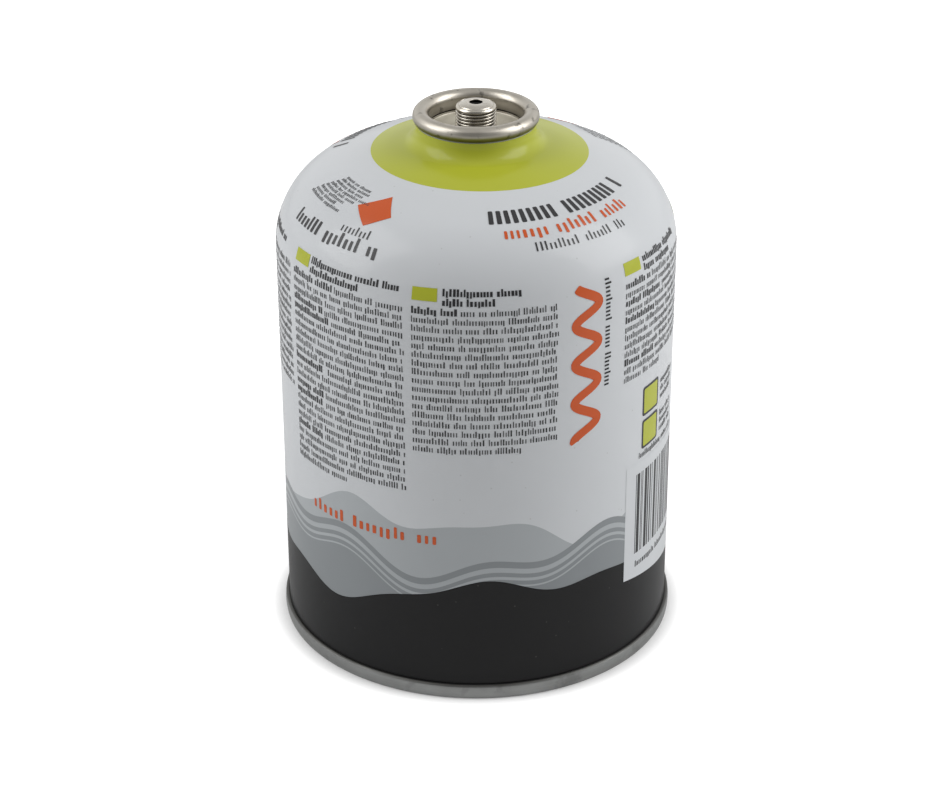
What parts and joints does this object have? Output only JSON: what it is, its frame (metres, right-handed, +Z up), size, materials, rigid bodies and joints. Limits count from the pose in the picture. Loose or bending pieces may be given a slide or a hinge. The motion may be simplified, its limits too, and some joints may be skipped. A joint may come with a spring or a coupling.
{
  "type": "fuel canister",
  "caption": "Screw-on gas fuel canister with a domed shoulder, a seamed concave bottom, and a threaded valve boss whose sprung stem is pressed down to open it.",
  "frame": {"origin": "on the can's axis, in the plane that the bottom seam stands on", "axes": "+Z up along the can's axis, from the seam to the valve; -Y is the printed front, +X its right"},
  "size_m": [0.1124, 0.1124, 0.154],
  "materials": {
    "can_paint": "gloss lacquer over printed steel",
    "seam_steel": "bare rolled steel with roller marks",
    "cup_tinplate": "tin plate, bright with scuffs",
    "seal_rubber": "matt black",
    "stem_plastic": "moulded, near black",
    "spring_steel": "drawn wire",
    "housing_plastic": "moulded"
  },
  "bodies": {
    "can": {"can_body": "can_paint", "bottom_end": "seam_steel", "valve_cup": "cup_tinplate", "cup_gasket": "seal_rubber", "stem_gasket": "seal_rubber", "valve_housing": "housing_plastic", "valve_spring": "spring_steel"},
    "stem": {"valve_stem": "stem_plastic"}
  },
  "joints": [
    {"name": "stem_press", "type": "slide", "parent": "can", "child": "stem", "axis": [0, 0, -1], "range_m": [0, 0.0015], "stiffness_N_per_m": 1200, "springref_m": -0.0015, "deforming": ["valve_spring"]}
  ]
}
